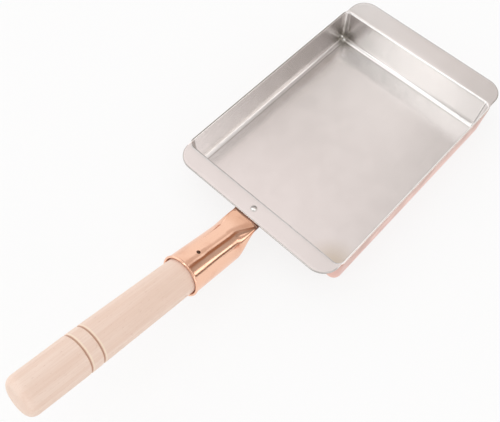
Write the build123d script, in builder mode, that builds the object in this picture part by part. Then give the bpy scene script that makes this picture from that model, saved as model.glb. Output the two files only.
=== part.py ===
from build123d import *
import os
from math import cos, pi, radians, sin, tan

# A rectangular copper omelette pan lined with tin, with a wooden grip.
# Millimetres. +Z is up and the stove is at z = 0. The origin is the middle of the tray's base.
# The grip points to -Y and rises away from the tray. +X is the right-hand side, seen from the grip.

# Tray
rim_width = 150.0  # inside, across the long walls' rims
tray_length = 195.0  # inside, between the end walls, where their bends begin
tray_height = 33.0  # from the stove to the top of the rim
copper_sheet = 1.4
tin_layer = 0.2
wall_draft = 3.0  # degrees that every wall leans outward
floor_rounding = 4.0  # inside, between the floor and a wall
corner_gain = 1.0  # how much larger the upright corners' inside radius is
bend_underside = 0.6  # radius under a flange, where the end wall turns into it
near_flange = 16.5  # width of the flange on the grip's side, from the end wall's inner face
far_flange = 22.8
flange_setback = 1.0  # how far a flange's ends stop short of the tray's outer sides
flange_corner = 15.0
bend_steps = 6

# Socket
grip_rise = 16.0  # degrees between the grip's axis and the stove
socket_radius = 15.0  # outside, where the tube begins
mouth_gain = 0.8  # how much larger the tube's radius is at its mouth
socket_wall = 1.1
socket_gap = 0.3  # between the socket's top and the flange's underside, at the flange's edge
neck_margin = 1.5  # how far in front of the flange's edge the neck's front section stands
neck_length = 18.5  # along the axis, from the flattened front to the round tube
neck_lead = 2.5  # round stretch of the neck beside the tube
tube_length = 42.5
bead_radius = 0.95
bead_bite = 0.15  # how deep the bore cuts into the mouth's bead
tongue_width = 24.2
tongue_layers = 2  # layers of the socket's wall that are pressed together under the flange
tongue_inset = 3.0  # from the flange's edge to the end of the neck
neck_end_thickness = 3.2
lug_bend = 1.0  # inside radius where the tongue turns down along the end wall
lug_drop = 19.0  # from the flange's underside to the lug's lower edge
lug_corner = 5.0
section_points = 28

# Stations of the neck, from its flattened front to the tube: place along the neck, how much of the
# narrowing to the tongue's width is done, how far the underside is raised, and the section's squareness.
neck_shares = [
    (0.00, 1.05, 0.810, 3.4),
    (0.24, 0.92, 0.660, 3.1),
    (0.48, 0.62, 0.415, 2.6),
    (0.72, 0.27, 0.175, 2.2),
    (1.00, 0.00, 0.000, 2.0),
]
tongue_squareness = 4.0

# Rivets and nail
rivet_shank_radius = 1.6
rivet_head_radius = 2.4
rivet_head_height = 1.3
rivet_tail_radius = 2.5
rivet_tail_height = 1.0
flange_rivet_share = 0.52  # place across the near flange
wall_rivet_spacing = 13.0
wall_rivet_share = 0.55  # place down the lug
hole_clearance = 0.05
nail_from_mouth = 15.3
nail_head_radius = 1.4
nail_head_height = 0.6
nail_shank_radius = 0.9
nail_length = 12.0
nail_point = 2.0

# Grip
grip_length = 132.0  # from the socket's mouth to the butt
groove_radius = 14.5  # the grip's radius at the groove next to the butt, where it is thickest
butt_radius = 14.1
butt_rounding = 5.5
grip_clearance = 0.1  # between the tenon and the socket's bore, where the tube begins
tenon_chamfer = 1.5
groove_from_butt = 43.9
groove_spacing = 9.7
groove_width = 1.7
groove_depth = 0.9

overrun = 5.0  # how far a cutting shape passes the faces that it cuts

# Sizes that follow
sheet = copper_sheet + tin_layer
bend_radius = bend_underside + sheet
corner_rounding = floor_rounding + corner_gain
slope = tan(radians(wall_draft))
bend_level = tray_height - bend_radius
underside = tray_height - sheet
near_wall_y = -tray_length / 2
near_edge_y = near_wall_y - near_flange
rise = radians(grip_rise)
bore_radius = socket_radius - socket_wall
tongue_thickness = tongue_layers * socket_wall


def width_at(level, depth):
    """Width across the long walls at a height, on the surface that lies depth behind the tin's face."""
    return rim_width + 2 * depth - 2 * (tray_height - level) * slope


def length_at(level, depth):
    """Length between the end walls at a height below their bends, on the same surface."""
    return tray_length + 2 * depth - 2 * (bend_level - level) * slope


def bowl(depth):
    """All that is inside the surface that lies depth behind the tin's face: drafted walls, then flared ends."""
    flare = bend_radius - depth
    with BuildPart() as space:
        for level in (sheet - depth, bend_level):
            with BuildSketch(Plane.XY.offset(level)):
                RectangleRounded(width_at(level, depth), length_at(level, depth), corner_rounding + depth)
        loft(ruled=True)
        fillet(space.faces().sort_by(Axis.Z)[0].edges(), floor_rounding + depth)
        for step in range(bend_steps + 1):
            turn = pi / 2 * step / bend_steps
            level = bend_level + flare * sin(turn)
            length = tray_length + 2 * (bend_radius - flare * cos(turn))
            with BuildSketch(Plane.XY.offset(level)):
                RectangleRounded(width_at(level, depth), length, corner_rounding + depth)
        loft()
    return space.part


def top_plate(low, high):
    """The rim and both flanges seen from above, between two heights."""
    rim = width_at(underside, sheet)
    flange_length = tray_length + near_flange + far_flange
    with BuildPart() as plate:
        with BuildSketch(Plane.XY.offset(low)):
            RectangleRounded(rim, tray_length + 2 * bend_radius, corner_rounding + sheet)
            with Locations((0, (far_flange - near_flange) / 2)):
                RectangleRounded(rim - 2 * flange_setback, flange_length, flange_corner)
        extrude(amount=high - low)
    return plate.part


def axis_point(station, lift=0):
    """A point of the grip's centre line, station along it from the near wall and lift above it."""
    return (
        0,
        near_wall_y - station * cos(rise) + lift * sin(rise),
        axis_height + station * sin(rise) + lift * cos(rise),
    )


def cross_plane(station):
    """The plane square to the grip's centre line, with X across and Y up."""
    return Plane(origin=axis_point(station), x_dir=(1, 0, 0), z_dir=(0, -cos(rise), sin(rise)))


def oval(half_width, top, bottom, squareness):
    """Points of a superellipse: 2 is an ellipse, and more is squarer."""
    middle = (top + bottom) / 2
    half_height = (top - bottom) / 2
    points = []
    for step in range(section_points):
        turn = 2 * pi * (step + 0.5) / section_points
        across = abs(cos(turn)) ** (2 / squareness)
        up = abs(sin(turn)) ** (2 / squareness)
        points.append(
            (
                half_width * (across if cos(turn) > 0 else -across),
                middle + half_height * (up if sin(turn) > 0 else -up),
            )
        )
    return points


# The grip's centre line, and the stations along it
axis_height = underside - socket_gap - near_flange * tan(rise) - socket_radius / cos(rise)
neck_front = (near_flange + neck_margin + socket_radius * sin(rise)) / cos(rise)
tube_front = neck_front + neck_length
tube_start = tube_front + neck_lead
mouth = tube_start + tube_length + bead_radius
butt = mouth + grip_length
nail_station = mouth - nail_from_mouth
grip_axis = Axis(axis_point(0), (0, -cos(rise), sin(rise)))
# Sketch plane through the centre line: X along the grip, Y up from its centre line
grip_plane = Plane(origin=axis_point(0), x_dir=(0, -cos(rise), sin(rise)), z_dir=(-1, 0, 0))
nail_plane = Plane(origin=axis_point(nail_station), x_dir=(1, 0, 0), z_dir=(0, sin(rise), cos(rise)))


def tube_radius(station):
    """The tube's outer radius, which grows evenly towards the mouth."""
    return socket_radius + mouth_gain * (station - tube_start) / tube_length


def neck(inset):
    """The neck's outer form, or its inner form for an inset of the wall's thickness, with the round tube."""
    half_tongue = tongue_width / 2
    tube_end = tube_start + tube_length
    if inset > 0:
        tube_end += bead_radius + overrun
    with BuildPart() as form:
        if inset == 0:
            end_top = underside - socket_gap
            with BuildSketch(Plane(origin=(0, near_edge_y + tongue_inset, 0), x_dir=(1, 0, 0), z_dir=(0, -1, 0))):
                with BuildLine():
                    Spline(
                        oval(half_tongue, end_top, end_top - neck_end_thickness, tongue_squareness),
                        periodic=True,
                    )
                make_face()
        for place, narrowing, raised, squareness in neck_shares:
            half_width = socket_radius + (half_tongue - socket_radius) * narrowing
            bottom = socket_radius * (2 * raised - 1)
            with BuildSketch(cross_plane(neck_front + neck_length * place)):
                with BuildLine():
                    Spline(
                        oval(half_width - inset, socket_radius - inset, bottom + inset, squareness),
                        periodic=True,
                    )
                make_face()
        with BuildSketch(cross_plane(tube_start)):
            with BuildLine():
                Spline(
                    oval(socket_radius - inset, socket_radius - inset, inset - socket_radius, 2),
                    periodic=True,
                )
            make_face()
        loft()
        for station in (tube_start, tube_end):
            radius = tube_radius(station) - inset
            with BuildSketch(cross_plane(station)):
                with BuildLine():
                    Spline(oval(radius, radius, -radius, 2), periodic=True)
                make_face()
        loft(ruled=True)
    return form.part


def rivet(base, direction, grip):
    """A rivet whose domed head stands on a face at base, and whose shank passes through grip millimetres."""
    side = Plane(origin=base, x_dir=(1, 0, 0), z_dir=(0, -direction[2], direction[1]))
    with BuildPart() as form:
        with BuildSketch(side):
            with BuildLine():
                TangentArc((0, rivet_head_height), (rivet_head_radius, 0), tangent=(1, 0))
                Polyline(
                    (rivet_head_radius, 0),
                    (rivet_shank_radius, 0),
                    (rivet_shank_radius, -grip),
                    (rivet_tail_radius, -grip),
                )
                TangentArc((0, -grip - rivet_tail_height), (rivet_tail_radius, -grip), tangent=(1, 0))
                Line((0, -grip - rivet_tail_height), (0, rivet_head_height))
            make_face()
        revolve(axis=Axis(base, direction))
    return form.part


def rivet_hole(base, direction):
    """The hole that a rivet passes through, long enough for every layer."""
    with BuildPart() as form:
        with BuildSketch(Plane(origin=base, x_dir=(1, 0, 0), z_dir=direction)):
            Circle(rivet_shank_radius + hole_clearance)
        extrude(amount=sheet + tongue_thickness + overrun, both=True)
    return form.part


# Where the rivets stand: on the tin, over the tongue and over the lug
flange_rivet_base = (0, near_wall_y - near_flange * flange_rivet_share, tray_height)
wall_rivet_level = underside - lug_drop * wall_rivet_share
wall_rivet_y = -length_at(wall_rivet_level, 0) / 2
wall_inward = (0, cos(radians(wall_draft)), sin(radians(wall_draft)))
wall_grip = (sheet + tongue_thickness) * cos(radians(wall_draft))
wall_rivet_bases = {
    "wall_rivet_left": (-wall_rivet_spacing / 2, wall_rivet_y, wall_rivet_level),
    "wall_rivet_right": (wall_rivet_spacing / 2, wall_rivet_y, wall_rivet_level),
}

os.makedirs("parts", exist_ok=True)

# Forms that more than one piece is cut by
tin_face = bowl(0)
copper_face = bowl(tin_layer)
rivet_holes = [rivet_hole(flange_rivet_base, (0, 0, 1))]
for base in wall_rivet_bases.values():
    rivet_holes.append(rivet_hole(base, wall_inward))

# Copper tray
with BuildPart() as pan_body:
    add(bowl(sheet))
    add(top_plate(underside, tray_height - tin_layer))
    add(copper_face, mode=Mode.SUBTRACT)
    for hole in rivet_holes:
        add(hole, mode=Mode.SUBTRACT)
pan_body.part.label = "pan_body"
export_step(pan_body.part, "parts/pan_body.step")

# Tin on the tray's inside, its rim and its flanges
with BuildPart() as tin_lining:
    add(copper_face)
    add(top_plate(tray_height - tin_layer, tray_height))
    add(tin_face, mode=Mode.SUBTRACT)
    for hole in rivet_holes:
        add(hole, mode=Mode.SUBTRACT)
tin_lining.part.label = "tin_lining"
export_step(tin_lining.part, "parts/tin_lining.step")

# Copper socket: round tube, drawn-in neck, tongue under the flange and lug down the end wall
lug_bottom = underside - lug_drop
lug_face_bottom = -length_at(lug_bottom, sheet) / 2
lug_corner_y = -length_at(underside, sheet) / 2
lug_back_corner_y = -length_at(underside - tongue_thickness, sheet) / 2 - tongue_thickness
with BuildPart() as handle_socket:
    add(neck(0))
    with BuildSketch(Plane.YZ):
        with BuildLine():
            outline = FilletPolyline(
                (near_edge_y + tongue_inset - tongue_thickness, underside),
                (lug_corner_y, underside),
                (lug_face_bottom, lug_bottom),
                radius=lug_bend + tongue_thickness,
            )
            inner = FilletPolyline(
                (lug_face_bottom - tongue_thickness, lug_bottom),
                (lug_back_corner_y, underside - tongue_thickness),
                (near_edge_y + tongue_inset - tongue_thickness, underside - tongue_thickness),
                radius=lug_bend,
            )
            Line(outline @ 1, inner @ 0)
            Line(inner @ 1, outline @ 0)
        make_face()
    extrude(amount=tongue_width / 2, both=True)
    lug_corners = handle_socket.edges().filter_by(Axis.Y).group_by(Axis.Z)[0]
    fillet(lug_corners, lug_corner)
    with BuildSketch(grip_plane):
        with Locations((mouth - bead_radius, bore_radius + mouth_gain + bead_radius - bead_bite)):
            Circle(bead_radius)
    revolve(axis=grip_axis)
    add(neck(socket_wall), mode=Mode.SUBTRACT)
    with BuildSketch(nail_plane):
        Circle(nail_head_radius + hole_clearance)
    extrude(amount=socket_radius + overrun, mode=Mode.SUBTRACT)
    for hole in rivet_holes:
        add(hole, mode=Mode.SUBTRACT)
handle_socket.part.label = "handle_socket"
export_step(handle_socket.part, "parts/handle_socket.step")

# Rivets: one through the near flange and the tongue, two through the end wall and the lug
with BuildPart() as flange_rivet:
    add(rivet(flange_rivet_base, (0, 0, 1), sheet + tongue_thickness))
flange_rivet.part.label = "flange_rivet"
export_step(flange_rivet.part, "parts/flange_rivet.step")

for name, base in wall_rivet_bases.items():
    with BuildPart() as wall_rivet:
        add(rivet(base, wall_inward, wall_grip))
    wall_rivet.part.label = name
    export_step(wall_rivet.part, f"parts/{name}.step")

# Wooden grip: a tenon in the socket, then a bar that widens as far as its two grooves and has a rounded butt
tenon_radius = bore_radius - grip_clearance
widening = (groove_radius - tenon_radius) / (grip_length - groove_from_butt)


def grip_radius(station):
    """The grip's radius between the socket's mouth and the groove next to the butt."""
    return tenon_radius + widening * (station - mouth)


with BuildPart() as wooden_grip:
    with BuildSketch(grip_plane):
        with BuildLine():
            Polyline(
                (tube_start, 0),
                (tube_start, tenon_radius),
                (mouth, tenon_radius),
                (butt - groove_from_butt, groove_radius),
                (butt, butt_radius),
                (butt, 0),
                close=True,
            )
        make_face()
        for groove in (butt - groove_from_butt, butt - groove_from_butt - groove_spacing):
            with BuildLine():
                Polyline(
                    (groove - groove_width / 2, grip_radius(groove - groove_width / 2)),
                    (groove, grip_radius(groove) - groove_depth),
                    (groove + groove_width / 2, grip_radius(groove + groove_width / 2)),
                    (groove, grip_radius(groove) + groove_depth),
                    close=True,
                )
            make_face(mode=Mode.SUBTRACT)
    revolve(axis=grip_axis)
    circles = wooden_grip.edges().filter_by(GeomType.CIRCLE).sort_by(grip_axis)
    fillet(circles[-1], butt_rounding)
    chamfer(circles[0], tenon_chamfer)
    with BuildSketch(nail_plane):
        Circle(nail_shank_radius + hole_clearance)
    extrude(amount=tenon_radius + overrun, mode=Mode.SUBTRACT)
wooden_grip.part.label = "wooden_grip"
export_step(wooden_grip.part, "parts/wooden_grip.step")

# Nail through the socket's top into the grip. Its head stands in the socket's wall, above the tenon.
nail_seat = tube_radius(nail_station + nail_head_radius) - socket_wall
with BuildPart() as grip_nail:
    with BuildSketch(Plane(origin=axis_point(nail_station), x_dir=(1, 0, 0), z_dir=(0, -cos(rise), sin(rise)))):
        with BuildLine():
            Polyline(
                (0, nail_seat + nail_head_height),
                (nail_head_radius, nail_seat + nail_head_height),
                (nail_head_radius, nail_seat),
                (nail_shank_radius, nail_seat),
                (nail_shank_radius, nail_seat - nail_length + nail_point),
                (0, nail_seat - nail_length),
                close=True,
            )
        make_face()
    revolve(axis=Axis(axis_point(nail_station), (0, sin(rise), cos(rise))))
grip_nail.part.label = "grip_nail"
export_step(grip_nail.part, "parts/grip_nail.step")
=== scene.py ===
# %% [markdown]
# # A tin-lined copper omelette pan
#
# The CAD part gives the pan's pieces at their real size: a copper tray, its tin, a copper socket, a turned
# wooden grip, three rivets and a nail. This lesson dresses them. Polished metal shows every flat facet of a
# mesh as a broken reflection, so each piece is worked out again as one smooth surface in numpy, on the same
# sizes, and stands for its CAD node. Everything is in metres, in the CAD's frame: +Z up, the grip towards -Y.

import math

import bmesh
import bpy
import numpy as np
from mathutils import Matrix, Vector


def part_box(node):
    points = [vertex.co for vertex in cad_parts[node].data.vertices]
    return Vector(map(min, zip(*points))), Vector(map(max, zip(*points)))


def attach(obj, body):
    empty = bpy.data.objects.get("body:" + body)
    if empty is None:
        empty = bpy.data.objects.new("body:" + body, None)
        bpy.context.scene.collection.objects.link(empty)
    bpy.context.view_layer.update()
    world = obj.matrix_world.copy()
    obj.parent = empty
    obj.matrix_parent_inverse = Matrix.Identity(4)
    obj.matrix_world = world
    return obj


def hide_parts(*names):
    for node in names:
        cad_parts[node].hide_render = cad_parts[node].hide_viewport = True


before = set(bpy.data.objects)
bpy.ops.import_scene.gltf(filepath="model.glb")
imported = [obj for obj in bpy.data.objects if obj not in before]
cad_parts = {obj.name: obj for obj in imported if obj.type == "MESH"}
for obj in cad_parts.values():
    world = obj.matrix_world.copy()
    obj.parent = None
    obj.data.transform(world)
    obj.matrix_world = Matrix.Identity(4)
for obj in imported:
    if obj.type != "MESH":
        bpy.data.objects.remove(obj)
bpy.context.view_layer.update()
print("CAD nodes:", sorted(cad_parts))

# %% [markdown]
# ## Sizes
#
# The tray's outer sizes are read from the CAD nodes. The rest are the part's own driving sizes, repeated here
# because a surface needs them one by one. `sheet` is the copper with its tin, and every wall leans out by
# `wall_draft`, so that one pan stacks in another.

# %% Sizes of the tray
tray_low, tray_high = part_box("tin_lining")
copper_low, copper_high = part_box("pan_body")
rim_height = tray_high.z
rim_half = tray_high.x
near_edge = tray_low.y
far_edge = tray_high.y

tray_length = 0.195
copper_sheet = 0.0014
tin_layer = rim_height - copper_high.z
sheet = copper_sheet + tin_layer
wall_draft = math.radians(3)
lean = math.tan(wall_draft)
floor_rounding = 0.004
corner_rounding = 0.005
bend_underside = 0.0006
bend_radius = bend_underside + sheet
flange_setback = 0.001
flange_corner = 0.015
underside = rim_height - sheet
mouth_half = rim_half - sheet + sheet * lean
print(f"tin {tin_layer * 1000:.2f} mm thick, rim {rim_height * 1000:.1f} mm high")
print(f"{mouth_half * 2000:.1f} mm wide inside the rim")

# %% Sizes of the socket, the grip and their fixings
rise = math.radians(16)
socket_radius = 0.015
mouth_gain = 0.0008
socket_wall = 0.0011
socket_gap = 0.0003
bore_radius = socket_radius - socket_wall
neck_margin = 0.0015
neck_length = 0.0185
neck_lead = 0.0025
tube_length = 0.0425
bead_radius = 0.00095
bead_bite = 0.00015
tongue_half = 0.0121
tongue_thickness = 2 * socket_wall
tongue_inset = 0.003
neck_end_thickness = 0.0032
lug_bend = 0.001
lug_drop = 0.019
lug_corner = 0.005

grip_length = 0.132
groove_radius = 0.0145
butt_radius = 0.0141
butt_rounding = 0.0055
tenon_radius = bore_radius - 0.0001
groove_from_butt = 0.0439
groove_spacing = 0.0097
groove_width = 0.0017
groove_depth = 0.0009

near_wall = -tray_length / 2
near_flange = near_wall - near_edge
axis_height = underside - socket_gap - near_flange * math.tan(rise) - socket_radius / math.cos(rise)
neck_front = (near_flange + neck_margin + socket_radius * math.sin(rise)) / math.cos(rise)
tube_front = neck_front + neck_length
tube_start = tube_front + neck_lead
mouth = tube_start + tube_length + bead_radius
butt = mouth + grip_length
along = np.array([0, -math.cos(rise), math.sin(rise)])
across = np.array([1.0, 0, 0])
upward = np.array([0, math.sin(rise), math.cos(rise)])
axis_start = np.array([0, near_wall, axis_height])
print(f"along the grip, its socket ends at {mouth * 1000:.1f} mm and its butt at {butt * 1000:.1f} mm")

# %% [markdown]
# ## From arrays to meshes
#
# Every surface here is a grid of points: rows run one way over it and columns the other. `skin` turns a
# stack of rows into a mesh in one step. A row whose points all coincide is a pole, which closes the surface
# like the top of a dome, and merging its points turns the quads beside it into triangles. Edges that turn by
# more than `crease` stay sharp, so that a rolled edge looks smooth and a cut one looks cut.

# %% Grid meshes
crease = math.radians(38)


def grid_faces(rows, columns, first=0):
    """Quads of a grid whose columns run round: (r, c), (r, c + 1), (r + 1, c + 1), (r + 1, c)."""
    r, c = np.meshgrid(np.arange(rows - 1), np.arange(columns), indexing="ij")
    right = (c + 1) % columns
    corners = (r * columns + c, r * columns + right, (r + 1) * columns + right, (r + 1) * columns + c)
    return np.stack(corners, axis=-1).reshape(-1, 4) + first


def skin(name, *grids):
    """One closed mesh from stacks of rows, each an array of shape (rows, columns, 3)."""
    points, faces, first = [], [], 0
    for grid in grids:
        points.append(grid.reshape(-1, 3))
        faces.append(grid_faces(grid.shape[0], grid.shape[1], first))
        first += grid.shape[0] * grid.shape[1]
    mesh = bpy.data.meshes.new(name)
    mesh.from_pydata(np.concatenate(points), [], np.concatenate(faces).tolist())
    form = bmesh.new()
    form.from_mesh(mesh)
    bmesh.ops.remove_doubles(form, verts=form.verts, dist=2e-7)
    bmesh.ops.recalc_face_normals(form, faces=form.faces)
    open_edges = sum(1 for edge in form.edges if not edge.is_manifold)
    form.to_mesh(mesh)
    form.free()
    mesh.shade_smooth()
    mesh.set_sharp_from_angle(angle=crease)
    piece = bpy.data.objects.new(name, mesh)
    bpy.context.scene.collection.objects.link(piece)
    print(f"{name}: {len(mesh.polygons)} faces, {open_edges} open edges")
    return piece


def stand_for(piece, node):
    """The piece rides on the part's one body and stands for a CAD node, which is hidden."""
    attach(piece, "root")
    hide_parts(node)
    return piece


# %% [markdown]
# ## The tray's plan
#
# Seen from above, every level of the tray is a rounded rectangle. One set of columns runs round all of them:
# a column has a place on the rectangle of corner centres (`core`) and an outward direction. Growing the
# radius then moves each point straight out, which is what a fillet or a rolled bend does. The columns crowd
# together towards the corners, where the surface turns.

# %% Columns around the tray
long_columns = 40
rim_arc_columns = 8
hollow_columns = 6
side_columns = 3
arc_columns = 9
end_arc_columns = 9
end_columns = 26
quarter = math.pi / 2


def steps(low, high, count):
    """Evenly spaced values from low towards high, without high itself."""
    return np.linspace(low, high, count, endpoint=False)


def all_round(far, near=None, sign_x=1, sign_y=1):
    """A full round from the values of one quarter, long side to end: forth, back, forth and back again."""
    near = far if near is None else near
    backward = far[:0:-1]
    return np.concatenate([far[:-1], sign_x * backward, sign_x * sign_y * near[:-1], sign_y * near[:0:-1]])


# Between the rim and a flange's end the sheet's edge turns in and out again, round a hollow
hollow_radius = 0.003
edge_radius = corner_rounding + sheet
rim_core_x = rim_half - edge_radius
rim_core_y = tray_length / 2 + bend_radius - edge_radius
flange_side = rim_half - flange_setback
hollow_x = flange_side + hollow_radius
hollow_y = rim_core_y + math.sqrt((edge_radius + hollow_radius) ** 2 - (hollow_x - rim_core_x) ** 2)
rim_arc = math.atan2(hollow_y - rim_core_y, hollow_x - rim_core_x)

hollow_end_share = 0.55
side_end_share = 0.67
corner_turns = np.concatenate([
    steps(0, rim_arc, rim_arc_columns),
    steps(rim_arc, hollow_end_share * quarter, hollow_columns),
    steps(hollow_end_share * quarter, side_end_share * quarter, side_columns),
    steps(side_end_share * quarter, quarter, arc_columns),
])
long_share = np.sin(steps(0, quarter, long_columns))
arc_x = flange_side - flange_corner
line_share = np.cos(np.linspace(0, quarter, end_columns))
end_share = np.concatenate([steps(1, arc_x / rim_core_x, end_arc_columns), arc_x / rim_core_x * line_share])
turns = np.concatenate([np.zeros(long_columns), corner_turns, np.full(end_share.size, quarter)])

core_x = all_round(np.concatenate([np.ones(turns.size - end_share.size), end_share]), sign_x=-1)
core_y = all_round(np.concatenate([long_share, np.ones(turns.size - long_columns)]), sign_y=-1)
out_x = all_round(np.cos(turns), sign_x=-1)
out_y = all_round(np.sin(turns), sign_y=-1)
endness = out_y**2
print(f"{core_x.size} columns run round the tray")

# %% [markdown]
# The plate that the rim and both flanges are cut from has its own outline, but the same columns. Its quarter
# is a line, four arcs and two more lines, end to end, each with its outward direction.


# %% The plate's outline
def arc(centre_x, centre_y, radius, turn):
    """Points of a circle and their outward directions; a negative radius is a hollow, seen from outside."""
    x = centre_x + abs(radius) * np.cos(turn)
    y = centre_y + abs(radius) * np.sin(turn)
    side = math.copysign(1, radius)
    return np.stack([x, y, side * np.cos(turn), side * np.sin(turn)])


def straight(x, y, turn):
    """Points of a line whose outward direction is turn."""
    x, y = np.broadcast_arrays(np.asarray(x, float), np.asarray(y, float))
    return np.stack([x, y, np.full(x.shape, math.cos(turn)), np.full(x.shape, math.sin(turn))])


def plate_quarter(reach):
    """The plate's edge from the middle of a long side to the middle of a flange that reaches that far."""
    arc_y = reach - flange_corner
    return np.concatenate([
        straight(rim_half, rim_core_y * long_share, 0),
        arc(rim_core_x, rim_core_y, edge_radius, steps(0, rim_arc, rim_arc_columns)),
        arc(hollow_x, hollow_y, -hollow_radius, steps(math.pi + rim_arc, math.pi, hollow_columns)),
        straight(flange_side, steps(hollow_y, arc_y, side_columns), 0),
        arc(arc_x, arc_y, flange_corner, steps(0, quarter / 2, arc_columns)),
        arc(arc_x, arc_y, flange_corner, steps(quarter / 2, quarter, end_arc_columns)),
        straight(arc_x * line_share, reach, quarter),
    ], axis=1)


far_quarter = plate_quarter(far_edge)
near_quarter = plate_quarter(-near_edge)
plate_x, plate_out_x = (all_round(far_quarter[i], near_quarter[i], sign_x=-1) for i in (0, 2))
plate_y, plate_out_y = (all_round(far_quarter[i], near_quarter[i], sign_y=-1) for i in (1, 3))
print(f"the plate is {far_edge - near_edge:.4f} m long and its flanges {2 * flange_side:.4f} m wide")

# %% [markdown]
# ## The tray's walls
#
# A wall's section is the same all round: floor, fillet, drafted wall, and a bend at the top. `ring` gives a
# level of it, and `bowl` stacks the rings. The tin's face is at depth 0, the copper's inside one layer behind
# it and the copper's outside a whole sheet behind it. At the ends the bend is the sheet's own bend into the
# flange. Along the sides it is only the rim's inner edge, rubbed round, so the radius blends from one to the
# other round the corners. Real tinned sheet is never quite flat, so `waver` adds a slow swell of a few
# hundredths of a millimetre, which bends reflections the way the real one does.

# %% Rings and bowls
rim_rounding = 0.0007
bend_level = rim_height - bend_radius
floor_rows = 22
fillet_rows = 12
wall_rows = 14
bend_rows = 12
rng = np.random.default_rng(7)
wave_count = 9
wave_size = rng.uniform(0.5, 1.0, wave_count)
wave_turn = rng.uniform(0, 2 * math.pi, (3, wave_count))
wave_pitch = rng.uniform(0.035, 0.09, wave_count)
wave_way = rng.normal(size=(3, wave_count))
wave_way /= np.linalg.norm(wave_way, axis=0)
swell = 0.00004


def waver(points, amount=swell):
    """A smooth random height for each point: a sum of sine waves with fixed directions and pitches."""
    phase = 2 * math.pi * (points @ (wave_way / wave_pitch)) + wave_turn[0]
    return amount * (np.sin(phase) * wave_size).sum(axis=-1) / math.sqrt(wave_count)


def ring(depth, level, grow, height):
    """A rounded rectangle at a level's drafted size, with its radius grown by grow, drawn at a height."""
    radius = corner_rounding + depth
    half_x = mouth_half + depth - (rim_height - level) * lean
    half_y = tray_length / 2 + depth - (bend_level - level) * lean
    x = core_x * (half_x - radius) + out_x * (radius + grow)
    y = core_y * (half_y - radius) + out_y * (radius + grow)
    return np.stack([x, y, np.broadcast_to(height, x.shape)], axis=-1)


def bowl(depth, side_bend):
    """Rows from the floor's middle to the bend's end, for the surface that lies depth behind the tin."""
    base = sheet - depth
    radius = floor_rounding + depth
    turn = np.linspace(-quarter, -wall_draft, fillet_rows)
    levels = base + radius + radius * np.sin(turn)
    grows = radius * (np.cos(turn) - 1 / math.cos(wall_draft) - np.sin(turn) * lean)
    fillet = [ring(depth, level, grow, level) for level, grow in zip(levels, grows)]
    floor_shares = np.append(np.linspace(0, 0.985, floor_rows), 0.996)
    floor = [fillet[0] * (share, share, 1) for share in floor_shares]

    bend = side_bend + (bend_radius - depth - side_bend) * endness
    top = rim_height - depth
    start = top - bend + bend * math.sin(wall_draft)
    shares = (1 - np.cos(np.linspace(0, math.pi, wall_rows)))[1:-1] / 2
    wall = [ring(depth, level, 0, level) for level in (levels[-1] + (start - levels[-1]) * s for s in shares)]
    rolled = []
    for turn in np.linspace(wall_draft, quarter, bend_rows):
        grow = bend * (math.cos(wall_draft) - math.cos(turn))
        rolled.append(ring(depth, start, grow, top - bend + bend * math.sin(turn)))
    return np.array(floor + fillet + wall + rolled)


def inset_edge(inset, height):
    """The plate's outline moved in by inset, at a height."""
    x = plate_x - plate_out_x * inset
    y = plate_y - plate_out_y * inset
    return np.stack([x, y, np.full(x.shape, height)], axis=-1)


def between(first, last, count):
    """Rows spaced evenly between two rows, without either."""
    shares = np.linspace(0, 1, count + 2)[1:-1, None, None]
    return first + (last - first) * shares


# %% [markdown]
# ## Tin and copper
#
# The tin is wiped over the whole inside and the tops of both flanges. As a piece it is a thin closed shell:
# its face, the rounded edge of the plate, and the same surfaces again one layer deeper. Two small drops of
# tin have set in the far left corner. The copper is the rest of the sheet. Each stack of rows starts and ends
# at a pole in the middle of the floor.

# %% The tin
edge_rounding = 0.0005
tin_share = math.acos(1 - tin_layer / edge_rounding)
interface_side = rim_rounding - tin_layer


def edge_rows(low, high, count):
    """The plate's upper edge, rolled over by a quarter circle, from one turn of it to another."""
    rows = []
    for turn in np.linspace(low, high, count):
        inset = edge_rounding * (1 - math.sin(turn))
        rows.append(inset_edge(inset, rim_height - edge_rounding * (1 - math.cos(turn))))
    return np.array(rows)


tin_face = bowl(0, rim_rounding)
floor_fade = (1 - np.linspace(0, 1, floor_rows + 1) ** 2)[:, None]
tin_face[: floor_rows + 1, :, 2] += waver(tin_face[: floor_rows + 1]) * floor_fade
tin_edge = edge_rows(0, tin_share, 5)
interface = bowl(tin_layer, interface_side)
tin_rows = [
    tin_face,
    between(tin_face[-1], tin_edge[0], 4),
    tin_edge,
    between(tin_edge[-1], interface[-1], 2),
    interface[::-1],
]

# Each drop is a ball that stands a little way out of the nearest spot of the tin
drop_radius = 0.0011
drop_rise = 0.6 * drop_radius
fall, turn = np.meshgrid(np.linspace(0, math.pi, 9), steps(0, 2 * math.pi, 16), indexing="ij")
ball = np.stack([np.sin(fall) * np.cos(turn), np.sin(fall) * np.sin(turn), np.cos(fall)], axis=-1)
drops, drop_places = [], []
for wanted in ((-0.0740, 0.0940, 0.0052), (-0.0715, 0.0945, 0.0022)):
    away = np.linalg.norm(tin_face - wanted, axis=-1)
    nearest = tin_face[np.unravel_index(np.argmin(away), away.shape)]
    inward = np.array([0, 0, rim_height]) - nearest
    centre = nearest + inward / np.linalg.norm(inward) * drop_rise
    drop_places.append(tuple(centre))
    drops.append(centre + drop_radius * ball)
tin = skin("tin", np.concatenate(tin_rows), *drops)
stand_for(tin, "tin_lining")

# %% [markdown]
# Under a flange the copper has a bend, a flat underside and a rounded edge. Along the sides it has none of
# these: the wall just runs up to the rim. So the lip's rows are worked out for both and mixed, by how much of
# a flange each column has.

# %% The copper
lower_rounding = 0.0004
lip_drop = 0.002

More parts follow.
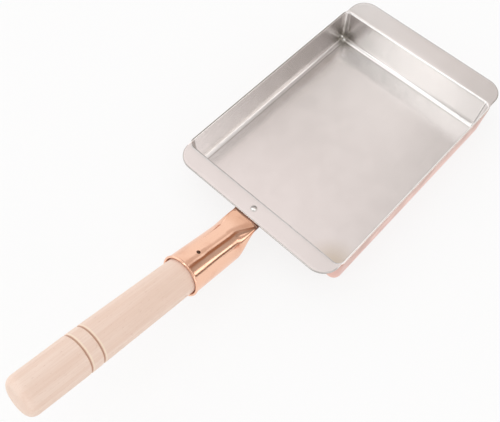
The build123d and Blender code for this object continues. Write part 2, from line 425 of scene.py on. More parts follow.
flange_amount = np.concatenate([
    np.zeros(long_columns),
    steps(0, 1, rim_arc_columns) ** 2,
    np.ones(turns.size - long_columns - rim_arc_columns),
])
flange_amount = all_round(flange_amount)[:, None]

outside = bowl(sheet, bend_underside / 2)
flange_bend = outside[-bend_rows:]
outer_floor = outside[: floor_rows + 1 + fillet_rows]
turn_down = np.linspace(0, quarter, 5)
lower_edge = np.array([
    inset_edge(lower_rounding * (1 - math.cos(t)), underside + lower_rounding * (1 - math.sin(t)))
    for t in turn_down
])
flange_flat = between(lower_edge[-1], flange_bend[-1], 3)
flange_lip = np.concatenate([lower_edge, flange_flat, flange_bend[::-1]])
side_levels = np.linspace(underside + lower_rounding, underside - lip_drop, len(flange_lip))
side_lip = np.array([ring(sheet, min(level, underside), 0, level) for level in side_levels])
lip = side_lip + (flange_lip - side_lip) * flange_amount

copper_edge = edge_rows(tin_share, quarter, 4)
copper_rows = [
    interface,
    between(interface[-1], copper_edge[0], 2),
    copper_edge,
    between(copper_edge[-1], lip[0], 1),
    lip,
    between(lip[-1], outer_floor[-1], wall_rows),
    outer_floor[::-1],
]
copper = skin("copper_tray", np.concatenate(copper_rows))
stand_for(copper, "pan_body")

# %% [markdown]
# ## The socket
#
# The socket is one copper sheet: rolled into a tube round the wood, with a bead at its mouth, then drawn in
# and flattened until it slips under the flange, and bent down behind the tray as a lug. Its sections are
# superellipses, whose squareness grows towards the flat end. The rows run from inside the bore, over the bead
# and along the tube to the flange. Hand work leaves faint waves, so the radius wavers a little as well.

# %% Sections of the socket
nail_station = mouth - 0.0153
hole_radius = 0.00145
hole_lip = 0.00006
warp_reach = 0.003
seam_half = 0.0004
seam_depth = 0.00012
hand_wave = 0.00005
inside_hole = (0, 0.00035, 0.0007, 0.00105, hole_radius - hole_lip)
outside_hole = (hole_radius, 0.0018, 0.0022, 0.0026)
half_offsets = np.array(inside_hole + outside_hole)
offsets = np.concatenate([-half_offsets[:0:-1], half_offsets])
fine_turn = offsets / socket_radius
wide_turn = np.linspace(warp_reach / socket_radius, math.pi - 2 * seam_half / socket_radius, 60)
seam_turn = np.linspace(-2, 2, 9)[:-1] * seam_half / socket_radius + math.pi
round_turn = np.concatenate([fine_turn, wide_turn, seam_turn, 2 * math.pi - wide_turn[::-1]])


def on_axis(station, side, lift):
    """Points beside the grip's centre line: station along it, side across it and lift above it."""
    station, side, lift = np.broadcast_arrays(station, side, lift)
    return axis_start + station[..., None] * along + side[..., None] * across + lift[..., None] * upward


def about_axis(station, radius, turn=round_turn):
    """Points round the grip's centre line at a radius from it: turn 0 is on top, a quarter turn is +X."""
    return on_axis(station, radius * np.sin(turn), radius * np.cos(turn))


def superellipse(half_width, top, bottom, squareness):
    """Side and lift of a section: a power of the sine and cosine squares an ellipse's shoulders."""
    power = 2 / squareness
    side = half_width * np.sign(np.sin(round_turn)) * np.abs(np.sin(round_turn)) ** power
    lift = (top - bottom) / 2 * np.sign(np.cos(round_turn)) * np.abs(np.cos(round_turn)) ** power
    return side, (top + bottom) / 2 + lift


narrowing_share, narrowing_power = 1.05, 0.85
raised_share = 0.81
round_squareness, neck_squareness, end_squareness = 2, 3.4, 4


def neck_section(share):
    """The neck's section a share of the way from its flat front to the tube."""
    flat = 1 - share * share * (3 - 2 * share)
    half_width = socket_radius + (tongue_half - socket_radius) * narrowing_share * flat**narrowing_power
    bottom = socket_radius * (2 * raised_share * flat - 1)
    squareness = round_squareness + (neck_squareness - round_squareness) * flat
    return superellipse(half_width, socket_radius, bottom, squareness)


def tube_radius(station):
    """The tube's outer radius, which grows evenly from where the tube begins to its mouth."""
    return socket_radius + mouth_gain * np.clip((station - tube_start) / tube_length, 0, 1)


def tube_row(station, radius):
    """A round section, pressed in a little along the seam underneath."""
    from_seam = np.abs(np.mod(round_turn, 2 * math.pi) - math.pi) * socket_radius / seam_half
    radius = radius - seam_depth * np.clip(1 - from_seam, 0, 1) ** 2
    return about_axis(station, radius)


# %% The bore, the bead and the tube
mouth_bore = bore_radius + mouth_gain
bead_lift = mouth_bore + bead_radius - bead_bite
bead_start = -math.asin((bead_lift - mouth_bore) / bead_radius)
bead_end = math.pi - math.asin((socket_radius + mouth_gain - bead_lift) / bead_radius)
bore_stop = 0.0015
bead_length = 0.0024
bore_front = tube_front + bore_stop
bore_rows = [tube_row(bore_front, 0.0), tube_row(bore_front, bore_radius)]
bead_rows = [
    about_axis(mouth - bead_radius + bead_radius * math.cos(turn), bead_lift + bead_radius * math.sin(turn))
    for turn in np.linspace(bead_start, bead_end, 22)
]
tube_stations = np.concatenate([
    np.linspace(mouth - bead_length, nail_station + warp_reach, 16, endpoint=False),
    nail_station + offsets[::-1],
    np.linspace(nail_station - warp_reach, tube_front, 44)[1:],
])
tube_rows = np.array([tube_row(station, tube_radius(station)) for station in tube_stations])

# Round the nail's hole, square rings of the grid become circles, and what lies inside them sinks
around = np.where(round_turn > math.pi, round_turn - 2 * math.pi, round_turn) * socket_radius
a, b = np.meshgrid(around, tube_stations - nail_station)
square = np.maximum(np.abs(a), np.abs(b))
ratio = square / np.maximum(np.hypot(a, b), 1e-9)
blend = np.clip((warp_reach - square) / (warp_reach - hole_radius), 0, 1)
stretch = 1 + (ratio - 1) * blend
sunk = np.where(square < hole_radius - hole_lip / 2, socket_radius - bore_radius, 0)
near_hole = square < warp_reach
warped_radius = tube_radius(nail_station + b * stretch) - sunk
warped = about_axis(nail_station + b * stretch, warped_radius, a * stretch / socket_radius)
tube_rows = np.where(near_hole[..., None], warped, tube_rows)
print(f"{len(tube_rows)} rows along the tube, {np.count_nonzero(near_hole)} points round the nail's hole")

# %% The neck and the end under the flange
neck_rows = []
for share in np.linspace(1, 0, 40)[1:]:
    side, lift = neck_section(share)
    neck_rows.append(on_axis(neck_front + neck_length * share, side, lift))
end_top = underside - socket_gap
end_side, end_lift = superellipse(tongue_half, end_top, end_top - neck_end_thickness, end_squareness)
end_row = np.stack([end_side, np.full(end_side.shape, near_edge + tongue_inset), end_lift], axis=-1)
end_rows = [neck_rows[-1] + (end_row - neck_rows[-1]) * share for share in np.linspace(0, 1, 8)[1:]]
end_middle = np.broadcast_to(end_row.mean(axis=0), end_row.shape)
socket_rows = (bore_rows, bead_rows, tube_rows, neck_rows, end_rows, end_middle[None])
socket_grid = np.concatenate([np.asarray(rows) for rows in socket_rows])

# Hand-made waves, square to the axis, which fade out at the bead, the hole and the flange
station_of = (socket_grid - axis_start) @ along
centre = axis_start + station_of[..., None] * along
outward = socket_grid - centre
length = np.linalg.norm(outward, axis=-1, keepdims=True)
wave_fade = 0.004
wave_gap = 0.003
from_nail = np.linalg.norm(socket_grid - on_axis(nail_station, 0.0, socket_radius), axis=-1)
fade = np.clip((station_of - neck_front) / wave_fade, 0, 1)
fade *= np.clip((mouth - wave_gap - station_of) / wave_fade, 0, 1)
fade *= np.clip((from_nail - wave_gap) / wave_gap, 0, 1)
fade *= length[..., 0] > bore_radius + socket_wall / 2
wave = waver(socket_grid * 3, hand_wave) * fade
socket_grid = socket_grid + outward / np.maximum(length, 1e-6) * wave[..., None]

# %% [markdown]
# The tongue and the lug are one flat strip carried along a path: back under the flange, round a small bend
# and down the tray's end wall. Its section is a rounded rectangle, and its half width follows a circle near
# the lower end, which rounds the lug's corners.

# %% The tongue and the lug
strip_edge = 0.0004
lug_bottom = underside - lug_drop
wall_back = -(tray_length / 2 + sheet - (bend_level - underside) * lean)
front_y = near_edge + tongue_inset - tongue_thickness
middle = tongue_thickness / 2
turn_radius = lug_bend + middle
corner_y = wall_back - middle - turn_radius
corner_z = underside - middle - turn_radius
fall = np.linspace(0, quarter - wall_draft, 12)
flat_y = np.linspace(front_y, corner_y, 12)
path_y = np.concatenate([flat_y, corner_y + turn_radius * np.sin(fall[1:])])
path_z = np.concatenate([np.full(flat_y.size, underside - middle), corner_z + turn_radius * np.cos(fall[1:])])
down_z = path_z[-1] - (path_z[-1] - lug_bottom) * np.sin(np.linspace(0, quarter, 26))[1:]
path_y = np.concatenate([path_y, path_y[-1] + (path_z[-1] - down_z) * lean])
path_z = np.concatenate([path_z, down_z])
direction = np.stack([np.gradient(path_y), np.gradient(path_z)], axis=-1)
direction /= np.linalg.norm(direction, axis=-1, keepdims=True)
from_bottom = np.clip(path_z - lug_bottom, 0, lug_corner)
path_half = tongue_half - lug_corner + np.sqrt(np.maximum(lug_corner**2 - (lug_corner - from_bottom) ** 2, 0))

strip_turn = np.linspace(0, 2 * math.pi, 48, endpoint=False)
strip_core = np.sign(np.cos(strip_turn)), np.sign(np.sin(strip_turn))
strip_side = strip_core[0] * (path_half[:, None] - strip_edge) + strip_edge * np.cos(strip_turn)
strip_rise = strip_core[1] * (middle - strip_edge) + strip_edge * np.sin(strip_turn)
strip_rise = np.broadcast_to(strip_rise, strip_side.shape)
strip = np.stack([
    strip_side,
    path_y[:, None] - direction[:, 1, None] * strip_rise,
    path_z[:, None] + direction[:, 0, None] * strip_rise,
], axis=-1)
caps = [np.broadcast_to(strip[i].mean(axis=0), strip[i].shape)[None] for i in (0, -1)]
strip = np.concatenate([caps[0], strip, caps[1]])
socket = skin("socket", socket_grid, strip)
stand_for(socket, "handle_socket")

# %% [markdown]
# ## Turned pieces
#
# The grip, the rivets and the nail are turned on a lathe or upset in a die, so each is a profile carried
# round an axis. `turned` takes the profile's radii and its places along the axis.


# %% Turning a profile
def turned(radii, places, origin, axis, side, count):
    """Rows of a surface of revolution: at each place along the axis, a circle of that radius."""
    axis, side = np.asarray(axis, float), np.asarray(side, float)
    other = np.cross(axis, side)
    turn = np.linspace(0, 2 * math.pi, count, endpoint=False)
    circle = np.cos(turn)[:, None] * side + np.sin(turn)[:, None] * other
    middles = np.asarray(origin) + np.asarray(places)[:, None, None] * axis
    return middles + np.asarray(radii)[:, None, None] * circle


# %% The wooden grip
groove_lip = 0.00025
groove_margin = 0.0018
grip_columns = 128
tenon_gap = 0.0015
tenon_chamfer = 0.0015
groove_middles = [butt - groove_from_butt, butt - groove_from_butt - groove_spacing]


def bare_radius(station):
    """The grip's radius: it grows from the mouth to the last groove and shrinks a little after it."""
    places = [mouth, groove_middles[0], butt]
    return np.interp(station, places, [tenon_radius, groove_radius, butt_radius])


def groove_cut(station):
    """The depth of both V grooves at a station: a wedge whose lips and bottom are slightly rounded."""
    cut = np.zeros_like(station)
    for middle_at in groove_middles:
        distance = np.abs(station - middle_at)
        wedge = groove_depth * (1 - distance / (groove_width / 2))
        cut = np.maximum(cut, (wedge + np.sqrt(wedge**2 + groove_lip**2 / 4)) / 2)
    return np.where(cut < groove_lip / 20, 0, cut)


grip_stations = np.unique(np.concatenate([
    np.linspace(tube_start + tenon_gap, mouth, 12),
    np.linspace(mouth, butt - butt_rounding, 90),
    *[np.linspace(middle_at - groove_margin, middle_at + groove_margin, 33) for middle_at in groove_middles],
]))
grip_radii = bare_radius(grip_stations) - groove_cut(grip_stations)
round_off = np.linspace(0, quarter, 14)[1:]
butt_places = butt - butt_rounding * (1 - np.sin(round_off))
butt_radii = bare_radius(butt) - butt_rounding * (1 - np.cos(round_off))
face_shares = np.linspace(1, 0, 12)[1:]
face_radii = butt_radii[-1] * face_shares
grip_radii = np.concatenate([[0, tenon_radius - tenon_chamfer], grip_radii, butt_radii, face_radii])
crown = 0.0004
face_places = butt + crown * (1 - face_shares**2) - crown
grip_places = np.concatenate([[tube_start] * 2, grip_stations, butt_places - crown, face_places])
grip = skin("grip", turned(grip_radii, grip_places, axis_start, along, across, grip_columns))
stand_for(grip, "wooden_grip")

# %% The rivets and the nail
head_radius, head_height = 0.0024, 0.0013
tail_radius, tail_height = 0.0025, 0.0010
shank_radius = 0.0016
dome_power = 0.8


def rivet(name, node, base, direction, layers):
    """A domed head on a face, a shank through the layers and an upset tail behind them."""
    dome = np.linspace(0, quarter, 12)
    upset = np.linspace(0, quarter, 9)
    head_places = head_height * np.cos(dome) ** dome_power
    tail_places = -layers - tail_height * np.sin(upset) ** dome_power
    radii = np.concatenate([head_radius * np.sin(dome), [shank_radius] * 2, tail_radius * np.cos(upset)])
    places = np.concatenate([head_places, [0, -layers], tail_places])
    piece = skin(name, turned(radii, places, base, direction, across, 48))
    return stand_for(piece, node)


flange_rivet_share = 0.52
flange_rivet_base = (0, near_wall - near_flange * flange_rivet_share, rim_height)
wall_rivet_share = 0.55
wall_rivet_half = 0.0065
rivet_level = underside - lug_drop * wall_rivet_share
rivet_y = -(tray_length / 2 - (bend_level - rivet_level) * lean)
inward = (0, math.cos(wall_draft), math.sin(wall_draft))
layers = sheet + tongue_thickness
rivets = [
    rivet("flange_dome", "flange_rivet", flange_rivet_base, (0, 0, 1), layers),
    rivet("wall_dome_left", "wall_rivet_left", (-wall_rivet_half, rivet_y, rivet_level), inward, layers),
    rivet("wall_dome_right", "wall_rivet_right", (wall_rivet_half, rivet_y, rivet_level), inward, layers),
]

nail_head, nail_shank = 0.0014, 0.0009
nail_seat = tube_radius(nail_station + nail_head) - socket_wall
nail_radii = np.array([0, 0.0011, 0.0013, nail_head, nail_head, nail_shank, nail_shank, 0])
nail_places = nail_seat + np.array([0.0006, 0.00058, 0.0005, 0.0004, 0, 0, -0.010, -0.012])
nail = skin("nail", turned(nail_radii, nail_places, axis_start + nail_station * along, upward, across, 32))
stand_for(nail, "grip_nail")

# %% [markdown]
# ## Shader maths as expressions
#
# A procedural finish is a formula over the surface. `Value` wraps one output of a node, and sums on values
# add the Math nodes for them, so a formula reads as it would on paper. `Tree` adds every other kind of node.


# %% Values and trees
class Value:
    """One output of a node; arithmetic on it adds Math nodes to the same tree."""

    def __init__(self, tree, socket):
        self.tree = tree
        self.socket = socket

    def __add__(self, other):
        return self.tree.math("ADD", self, other)

    __radd__ = __add__

    def __sub__(self, other):
        return self.tree.math("SUBTRACT", self, other)

    def __rsub__(self, other):
        return self.tree.math("SUBTRACT", other, self)

    def __mul__(self, other):
        return self.tree.math("MULTIPLY", self, other)

    __rmul__ = __mul__


class Tree:
    """The node tree of a material or a world, filled by expressions."""

    def __init__(self, owner):
        owner.use_nodes = True
        self.nodes = owner.node_tree.nodes
        self.links = owner.node_tree.links
        self.nodes.clear()

    def add(self, kind, settings=None, sockets=None, output=0):
        """A node of a kind, its settings set first and its sockets fed next; the answer is one output."""
        node = self.nodes.new(kind)
        for name, value in (settings or {}).items():
            setattr(node, name, value)
        for name, value in (sockets or {}).items():
            if isinstance(value, Value):
                self.links.new(value.socket, node.inputs[name])
            else:
                node.inputs[name].default_value = value
        return None if output is None else Value(self, node.outputs[output])

    def math(self, operation, *values):
        """A Math node of this operation."""
        return self.add("ShaderNodeMath", {"operation": operation}, dict(enumerate(values)))

    def largest(self, *values):
        """The largest of several values."""
        found = values[0]
        for value in values[1:]:
            found = self.math("MAXIMUM", found, value)
        return found

    def between(self, value, low, high):
        """0 below low and 1 above high, with a smooth step between them; low may be the larger."""
        sockets = {"Value": value, "From Min": low, "From Max": high}
        return self.add("ShaderNodeMapRange", {"interpolation_type": "SMOOTHSTEP"}, sockets)

    def beside(self, value, middle, outer, inner):
        """1 where a value is within inner of a middle, and 0 where it is outer or more away."""
        return self.between(self.math("ABSOLUTE", value - middle), outer, inner)

    def parts(self, point, names="XYZ"):
        """The named coordinates of a point."""
        return [self.add("ShaderNodeSeparateXYZ", None, {0: point}, output=name) for name in names]

    def number(self, operation, first, second):
        """What a Vector Math node makes of two vectors, where that is a number."""
        sockets = {0: first, 1: second}
        return self.add("ShaderNodeVectorMath", {"operation": operation}, sockets, output="Value")

    def place(self, scale=(1, 1, 1)):
        """Object coordinates in metres, stretched by a scale for each axis."""
        point = self.add("ShaderNodeTexCoord", output="Object")
        return self.add("ShaderNodeVectorMath", {"operation": "MULTIPLY"}, {0: point, 1: scale})

    def noise(self, point, scale, detail=2.0, roughness=0.5, distortion=0.0):
        """Soft random patches from about 0.2 to 0.8; scale is how many there are in a metre."""
        sockets = {"Vector": point, "Scale": scale, "Detail": detail, "Roughness": roughness,
                   "Distortion": distortion}
        return self.add("ShaderNodeTexNoise", None, sockets)

    def mix(self, share, first, second):
        """A colour that goes from the first to the second as share goes from 0 to 1."""
        sockets = {0: share, 6: colour(first), 7: colour(second)}
        return self.add("ShaderNodeMix", {"data_type": "RGBA"}, sockets, output=2)

    def bump(self, height, depth):
        """A Bump node's normal: height runs from 0 to 1 and stands for depth in metres."""
        return self.add("ShaderNodeBump", None, {"Height": height, "Distance": depth, "Strength": 1.0})


def colour(value):
    """A colour as red, green, blue and alpha; links pass through."""
    return value if isinstance(value, Value) else (*value, 1.0)


def finish(name, formula, metallic=0.0):
    """A Principled material whose sockets come from a formula over its tree."""
    material = bpy.data.materials.new(name)
    tree = Tree(material)
    surface = tree.add("ShaderNodeBsdfPrincipled", None, {"Metallic": metallic, **formula(tree)})
    tree.add("ShaderNodeOutputMaterial", None, {"Surface": surface}, output=None)
    return material


def dress(piece, material):
    """Gives the piece its one finish."""
    piece.data.materials.clear()
    piece.data.materials.append(material)
    print(f"{piece.name} is dressed in {material.name}")


# %% [markdown]
# ## Tin
#
# Tin is wiped on by hand while it is molten, and dries to a bright grey metal with cloudy patches. Its
# reflections are soft, and a little sharper in some patches than in others. Fine wiping marks run along the
# pan, and the surface is never quite level.
#
# Some marks are signs of use and some are painted light, each a mask with a place of its own. Painted shade
# darkens the far left corner and runs up it, a tan stain lies in the near right corner, and a line of painted
# shade follows the foot of the fillets. The rim has painted shade outside on the left and a painted highlight
# elsewhere, the flanges' edges have a line of painted shade, painted shade rings the flange rivet, and the
# drops are painted near white as highlights.

# %% Signs of use, painted shade and painted highlights
# Where the far left corner's painted shade and the near right corner's tan stain lie
corner_shade_centre = (-0.073, 0.095, 0.005)
corner_shade_reach = 0.045
crease_shade_reach = 0.016
tan_corner = (0.066, -0.089, 0.002)
tan_reach = 0.028
rivet_shade_reach = 0.0036
rim_skin = (rim_height - 0.0005, rim_height - 0.0003)
flange_shade_line = (flange_corner - 0.0011, flange_corner - 0.0005)
foot_shade_line = (0.0006, 0.0001)
foot_end = 0.001
fillet_reach = floor_rounding * (1 / math.cos(wall_draft) - lean)
foot_x = mouth_half - (rim_height - sheet) * lean - fillet_reach
foot_y = tray_length / 2 - (bend_level - sheet) * lean - fillet_reach


def near_to(tree, point, centre, reach):
    """1 at a centre, falling evenly to 0 at a distance of reach."""
    return tree.between(tree.number("DISTANCE", point, centre), reach, 0.0)


def flange_edge_mask(tree, y, wide, long):
    """1 along both flanges' edges, by each point's distance from their corner arcs' middles."""
    reach = -near_edge + (far_edge + near_edge) * tree.between(y, -0.001, 0.001)
    past_x = tree.largest(wide - arc_x, 0.0)
    past_y = tree.largest(long - reach + flange_corner, 0.0)
    from_arc = tree.math("SQRT", past_x * past_x + past_y * past_y)
    return tree.between(long, 0.0995, 0.1005) * tree.between(from_arc, *flange_shade_line)


def foot_shade_mask(tree, wide, long, z):
    """1 on the thin rectangle where the fillets meet the floor, for a line of painted shade."""
    along_side = tree.beside(wide, foot_x, *foot_shade_line) * tree.between(long, foot_y + foot_end, foot_y)
    along_end = tree.beside(long, foot_y, *foot_shade_line) * tree.between(wide, foot_x + foot_end, foot_x)
    return tree.largest(along_side, along_end) * tree.between(z, 0.006, 0.004)


# %% Tin
def tin_formula(tree):
    """Clouds move roughness and colour; each stain, painted shade and highlight mixes its colour over them.
    """
    point = tree.place()
    x, y, z = tree.parts(point)
    wide, long = tree.math("ABSOLUTE", x), tree.math("ABSOLUTE", y)
    clouds = tree.noise(point, 55, 2, 0.5)
    marks = tree.noise(tree.place((260, 40, 260)), 1, 2, 0.5, 0.4)
    swells = tree.noise(point, 22, 1, 0.4)
    cloudy = tree.between(clouds, 0.38, 0.66)
    # Painted shade: the far left corner darkens, and its crease and upright corner darken more.
    corner_shade = near_to(tree, point, corner_shade_centre, corner_shade_reach) * (0.12 + 0.3 * (clouds - 0.5))
    upright = tree.between(x, -0.0690, -0.0730) * tree.between(y, 0.0915, 0.0955)
    upright = upright * tree.between(z, 0.028, 0.016)
    crease_shade = tree.largest(near_to(tree, point, corner_shade_centre, crease_shade_reach) * 0.8, upright * 0.55)
    stain = near_to(tree, point, tan_corner, tan_reach) * 0.85
    # Painted highlight: the tin drops are coloured near white.
    drop_highlight = tree.largest(*(
        tree.between(near_to(tree, point, place, 2 * drop_radius), 0.3, 0.4) for place in drop_places
    ))
    rim_top = tree.between(z, *rim_skin)
    # Painted shade: a dark line on the left rim's outer edge and along the flanges' edges.
    left_rim_edge_shade = rim_top * tree.between(x, -0.0753, -0.0756)
    # Painted highlight: the rim's top goes near white along the right side and the near part of the left.
    left_rim_highlight = tree.between(x, -0.0743, -0.0747) * tree.between(y, 0.02, -0.04)
    rim_highlight = rim_top * tree.largest(tree.between(x, 0.0750, 0.0754), left_rim_highlight)
    edge_shade = tree.largest(flange_edge_mask(tree, y, wide, long) * 0.5, left_rim_edge_shade)
    # Painted shade: a dark line at the foot of the fillets.
    foot_shade = foot_shade_mask(tree, wide, long, z)
    # Painted shade: a dark ring on the flange round its rivet.
    ring = near_to(tree, point, flange_rivet_base, rivet_shade_reach) * 0.9
    tin_colour = tree.mix(cloudy, (0.81, 0.78, 0.767), (0.83, 0.80, 0.787))
    signs = (
        (corner_shade, (0.42, 0.39, 0.34)),
        (crease_shade, (0.20, 0.18, 0.14)),
        (ring, (0.30, 0.28, 0.26)),
        (stain, (0.64, 0.56, 0.45)),
        (foot_shade * 0.45, (0.30, 0.28, 0.26)),
        (rim_highlight * 0.9, (1.0, 0.99, 0.97)),
        (drop_highlight, (0.97, 0.96, 0.94)),
        (edge_shade, (0.32, 0.30, 0.27)),
    )
    for share, sign_colour in signs:
        tin_colour = tree.mix(share, tin_colour, sign_colour)
    return {
        "Base Color": tin_colour,
        "Roughness": 0.22 + 0.015 * cloudy + 0.03 * marks,
        "Normal": tree.bump(swells * 0.5 + clouds * 0.07 + marks * 0.03, 0.00025),
    }


dress(tin, finish("wiped_tin", tin_formula, 1.0))

# %% [markdown]
# ## Copper
#
# The socket is polished: a clean salmon metal with clear reflections and a few hair-fine scratches. Towards
# the tray it is darker, and painted shadow darkens it in the crevice under the flange and at the tongue's
# tip. The tray's outside was heated to tin its inside, and only rubbed down afterwards. Heat leaves a thin
# oxide there, which colours the copper in patches from salmon through mauve to brown, and painted shade
# browns it towards the rim. Where the tin ran over the flange's edge and under it, the copper is white.

# %% Polished copper
# Where the painted shadow at the tongue's tip is centred
tip_shadow_spot = (tongue_half + 0.0005, near_edge - 0.0005, underside - 0.002)
tip_shadow_reach = 0.0065


def socket_formula(tree):
    """Faint darker clouds, long scratches, darker copper towards the tray and painted shadow under the
    flange.
    """
    point = tree.place()
    y = tree.parts(point, "Y")[0]
    # Painted shadow: dark under the flange's edge and at the tongue's tip.
    flange_shadow = tree.between(y, near_edge - 0.0017, near_edge - 0.0008) * 0.6
    tip_shadow = near_to(tree, point, tip_shadow_spot, tip_shadow_reach)
    clouds = tree.noise(point, 70, 3, 0.5)
    scratches = tree.noise(tree.place((1500, 90, 900)), 1, 3, 0.7)
    dull = tree.between(clouds, 0.45, 0.75)
    polished = tree.mix(dull, (0.955, 0.60, 0.44), (0.88, 0.52, 0.37))
    # The socket's copper goes darker towards the tray.
    near_tray_darkening = tree.between(y, near_edge - 0.016, near_edge - 0.006) * 0.7
    polished = tree.mix(near_tray_darkening, polished, (0.81, 0.46, 0.31))
    return {
        "Base Color": tree.mix(tree.largest(flange_shadow, tip_shadow), polished, (0.16, 0.09, 0.08)),
        "Roughness": 0.10 + 0.08 * dull + 0.05 * (scratches - 0.4),
        "Normal": tree.bump(clouds * 0.9 + scratches * 0.03, 0.00006),
    }


dress(socket, finish("polished_copper", socket_formula, 1.0))


# %% Fire-marked copper
def tray_formula(tree):
    """Noises pick salmon, mauve and brown, with painted shade browner towards the rim; the flanges' edges are
    tinned.
    """
    point = tree.place()
    large = tree.noise(point, 60, 2, 0.5, 0.3)
    small = tree.noise(point, 160, 3, 0.6)
    brown = tree.between(large + 0.3 * (small - 0.5), 0.42, 0.78) * 0.6
    mauve = tree.between(tree.noise(point, 70, 2, 0.5), 0.35, 0.72)
    copper_colour = tree.mix(mauve, (0.91, 0.57, 0.48), (0.77, 0.46, 0.40))
    copper_colour = tree.mix(brown, copper_colour, (0.56, 0.34, 0.27))
    y, z = tree.parts(point, "YZ")
    # Painted shade: the copper is browner just below the rim.
    rim_shade = tree.between(z + 0.004 * (large - 0.5), 0.018, 0.028) * 0.45
    copper_colour = tree.mix(rim_shade, copper_colour, (0.56, 0.34, 0.27))
    past_wall = tree.between(tree.math("ABSOLUTE", y) + 0.003 * small, 0.0975, 0.0995)
    tinned = past_wall * tree.between(z + 0.0004 * (small - 0.5), 0.0310, 0.0313)
    return {
        "Base Color": tree.mix(tinned, copper_colour, (0.52, 0.49, 0.47)),
        "Roughness": 0.29 + 0.12 * brown + 0.04 * small,
        "Normal": tree.bump(large * 0.7 + small * 0.2, 0.0001),
    }


dress(copper, finish("fired_copper", tray_formula, 1.0))

# %% [markdown]
# ## Beech
#
# The grip is plain beech, sanded and not varnished. Its fibres run lengthwise, and all over it lie the short
# dark dashes that mark this wood, the cut edges of its rays. Each groove has painted shade, and a painted
# highlight on its lip towards the socket.

# %% Beech
grip_frame = (tuple(across), tuple(along), tuple(upward))
lip_highlight_ahead = 0.0013


def wood_formula(tree):
    """Noises on coordinates turned to the grip's axis and stretched along it: fibres, bands and dashes."""
    point = tree.add("ShaderNodeTexCoord", output="Object")
    parts = [tree.number("DOT_PRODUCT", point, axis) for axis in grip_frame]

    def stretched(sideways, lengthways):
        """A point whose units are metres times these scales."""
        names = dict(zip("XYZ", (parts[0] * sideways, parts[1] * lengthways, parts[2] * sideways)))
        return tree.add("ShaderNodeCombineXYZ", None, names)

    fibres = tree.noise(stretched(900, 22), 1, 4, 0.6)
    bands = tree.noise(stretched(120, 6), 1, 2, 0.5, 0.4)
    dashes = tree.noise(stretched(2300, 330), 1, 1, 0.5)
    dash = tree.between(dashes, 0.67, 0.77)
    pale = tree.mix(tree.between(bands, 0.35, 0.65), (0.88, 0.68, 0.57), (0.92, 0.74, 0.635))
    pale = tree.mix(tree.between(fibres, 0.40, 0.62) * 0.3, pale, (0.80, 0.58, 0.46))
    pale = tree.mix(dash * 0.45, pale, (0.60, 0.36, 0.25))
    station = parts[1] - float(axis_start @ along)
    # Painted shade in each groove, and a painted highlight on the lip just before it.
    groove_shade = tree.largest(*(tree.beside(station, place, 0.0008, 0.0003) for place in groove_middles))
    lip = tree.largest(*(tree.beside(station, place - lip_highlight_ahead, 0.0006, 0.0002) for place in groove_middles))
    pale = tree.mix(lip * 0.7, pale, (0.98, 0.84, 0.66))
    return {
        "Base Color": tree.mix(groove_shade * 0.75, pale, (0.50, 0.27, 0.17)),
        "Roughness": 0.62 + 0.1 * (fibres - 0.5),
        "Normal": tree.bump(fibres * 0.6 - dash * 0.3, 0.00004),
    }


dress(grip, finish("beech", wood_formula))

# %% [markdown]
# ## Nail and rivets
#
# The rivets were tinned with the pan, and painted shade darkens their side away from the light. The nail is
# plain steel, painted near black as shade in its small hole.


# %% Nail and rivets
def nail_formula(tree):
    """Steel painted near black as shade in its hole, with a little brown rust in patches."""
    rust = tree.between(tree.noise(tree.place(), 1200, 2, 0.5), 0.45, 0.6)
    return {
        # Painted shade: the nail's steel is near black, as the hole round it is shaded.
        "Base Color": tree.mix(rust, (0.06, 0.04, 0.03), (0.12, 0.06, 0.03)),
        "Roughness": 0.45 + 0.2 * rust,
        "Metallic": 1 - 0.7 * rust,
    }


lit_side_way = (0.78, -0.62, 0)
shade_line = lit_side_way[1] * flange_rivet_base[1]


def rivet_formula(tree):
    """Tin like the pan's in clouds, with painted shade on the side away from the light."""
    point = tree.place()
    clouds = tree.noise(point, 700, 2, 0.5)
    # Painted shade: the rivets' side away from the light is dark.
    shaded_side = tree.between(tree.number("DOT_PRODUCT", point, lit_side_way) - shade_line, 0.0006, -0.0008)
    bright = tree.mix(clouds, (0.76, 0.74, 0.72), (0.88, 0.87, 0.85))
    return {
        "Base Color": tree.mix(shaded_side * 0.8, bright, (0.25, 0.23, 0.21)),
        "Roughness": 0.14 + 0.10 * clouds,
        "Normal": tree.bump(clouds, 0.00003),
    }


dress(nail, finish("steel_with_painted_shade", nail_formula))
tinned = finish("tinned_rivets", rivet_formula, 1.0)
for piece in rivets:
    dress(piece, tinned)

# %% [markdown]
# ## The floor
#
# The pan lies on a plain white floor. The floor is a real white surface, so the pan's shadow falls on it. For
# a camera, a mirror or a glass it also glows, as a lit photographer's table does, so its white stays white in
# the metal too.

# %% The floor
floor_size = 6.0
glow_share = 0.82
floor_mesh = bpy.data.meshes.new("floor")
half = floor_size / 2
floor_corners = [(-half, -half, 0), (half, -half, 0), (half, half, 0), (-half, half, 0)]
floor_mesh.from_pydata(floor_corners, [], [(0, 1, 2, 3)])
floor = bpy.data.objects.new("floor", floor_mesh)
bpy.context.scene.collection.objects.link(floor)


def path_of(tree):
    """1 for what the camera sees, straight, mirrored or through a glass, and 0 for light that only lights."""
    names = ("Is Camera Ray", "Is Glossy Ray", "Is Transmission Ray")
    return tree.largest(*(tree.add("ShaderNodeLightPath", output=name) for name in names))


table = bpy.data.materials.new("white_table")
tree = Tree(table)
paper = tree.add("ShaderNodeBsdfDiffuse", None, {"Color": (0.9, 0.9, 0.9, 1)})
glow = tree.add("ShaderNodeEmission", None, {"Color": (1, 1, 1, 1), "Strength": 1.0})
surface = tree.add("ShaderNodeMixShader", None, {0: path_of(tree) * glow_share, 1: paper, 2: glow})
tree.add("ShaderNodeOutputMaterial", None, {"Surface": surface}, output=None)
dress(floor, table)

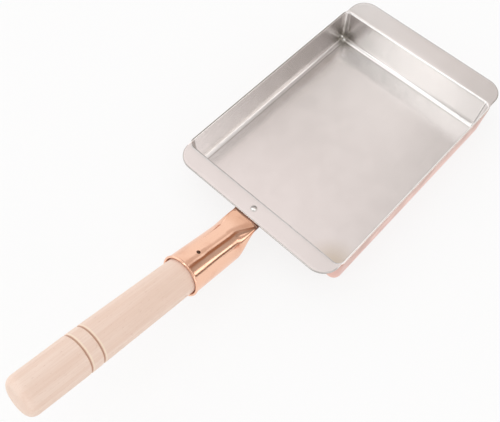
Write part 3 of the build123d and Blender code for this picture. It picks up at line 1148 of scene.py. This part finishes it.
# %% [markdown]
# ## The light
#
# Metal shows the room it stands in. The studio here is a white tent with a few gaps and soft boxes, painted
# on the sky: each patch has a bearing, a height, half its width and height and a soft edge, all in degrees,
# and a brightness. Bearing 0 is towards the grip, and it grows towards +X. A later patch lies over an earlier
# one.

# %% The studio's sky
tent = (1.3, 1.3, 1.3)
patches = (
    # bearing, height, half width, half height, soft edge, brightness
    (-140, 56, 33, 15, 10, (1.02, 0.93, 0.91)),
    (-170, 62, 12, 10, 6, (0.78, 0.73, 0.71)),
    (-143, 43, 9, 8, 7, (0.58, 0.55, 0.52)),
    (-170, 49, 5, 6, 4, (0.58, 0.55, 0.53)),
    (-157, 50, 3, 1, 3, (1.70, 1.64, 1.62)),
    (137, 33, 42, 30, 8, (0.54, 0.51, 0.49)),
    (143, 45, 9, 6, 6, (0.40, 0.375, 0.355)),
    (166, 29, 8, 18, 5, (0.34, 0.20, 0.13)),
    (-150, 17, 36, 26, 3, (1.0, 1.0, 1.0)),
    (-168, 8, 22, 11, 6, (0.35, 0.34, 0.33)),
    (-165, 42, 10, 5, 2, (0.72, 0.66, 0.63)),
    (116, 18, 18, 6, 3, (1.9, 1.85, 1.80)),
    (121, 6, 18, 5, 2, (0.25, 0.20, 0.17)),
    (117, 54, 10, 9, 6, (1.7, 1.65, 1.65)),
    (-33, 41, 10, 16, 4, (0.08, 0.08, 0.07)),
    (33, 41, 23, 18, 6, (0.42, 0.40, 0.39)),
    (-9, 34, 11, 24, 4, (0.68, 0.68, 0.67)),
    (-19, 34, 3, 24, 3, (2.8, 2.85, 2.85)),
    (-58, 73, 30, 8, 6, (1.6, 1.6, 1.6)),
)
horizon = (2.0, 4.0)

world = bpy.data.worlds.new("studio")
bpy.context.scene.world = world
tree = Tree(world)
x, y, z = tree.parts(tree.add("ShaderNodeTexCoord", output="Generated"))
degrees_of = 180 / math.pi
height = tree.math("ARCSINE", z) * degrees_of
bearing = tree.math("ARCTAN2", x, -1 * y) * degrees_of

sky = tent
for patch_bearing, patch_height, half_width, half_height, edge, brightness in patches:
    turned_by = tree.math("WRAP", bearing - patch_bearing, 180.0, -180.0)
    inside_width = tree.between(tree.math("ABSOLUTE", turned_by), half_width + edge, half_width)
    inside_height = tree.beside(height, patch_height, half_height + edge, half_height)
    sky = tree.mix(inside_width * inside_height, sky, brightness)
sky = tree.mix(tree.between(height, *horizon), (1, 1, 1), sky)
light = tree.add("ShaderNodeBackground", None, {"Color": sky, "Strength": 1.0})
tree.add("ShaderNodeOutputWorld", None, {"Surface": light}, output=None)
print(f"{len(patches)} patches are painted on the sky")

# %% [markdown]
# ## The camera
#
# The camera looks down at the pan from its right, a little over half a metre away, and is tilted a few
# degrees, as a hand-framed photograph is. It stands at the spot it looks at, plus the distance along the way
# back.

# %% The camera
azimuth = math.radians(38.706)
elevation = math.radians(59.597)
roll = math.radians(4.317)
distance = 0.557745
target = Vector((-0.020509, -0.07299, 0))
back = Vector((
    math.sin(azimuth) * math.cos(elevation), -math.cos(azimuth) * math.cos(elevation), math.sin(elevation)
))
level_right = (-back).cross(Vector((0, 0, 1))).normalized()
level_up = level_right.cross(-back)
right = level_right * math.cos(roll) + level_up * math.sin(roll)
up = level_up * math.cos(roll) - level_right * math.sin(roll)

lens = bpy.data.cameras.new("camera")
lens.lens = 49.86
lens.sensor_width = 36
lens.shift_x = -0.0237
lens.shift_y = -0.0491
camera = bpy.data.objects.new("camera", lens)
turned_to = Matrix((right, up, back)).transposed().to_4x4()
camera.matrix_world = Matrix.Translation(target + back * distance) @ turned_to
bpy.context.scene.collection.objects.link(camera)
bpy.context.scene.camera = camera
print("camera at", [round(value, 4) for value in camera.matrix_world.translation])

# %% [markdown]
# ## Finish
#
# The colours are shown as they are. The dressed pan has to fill the CAD's.

# %% Show the colours as they are
bpy.context.scene.view_settings.view_transform = "Standard"
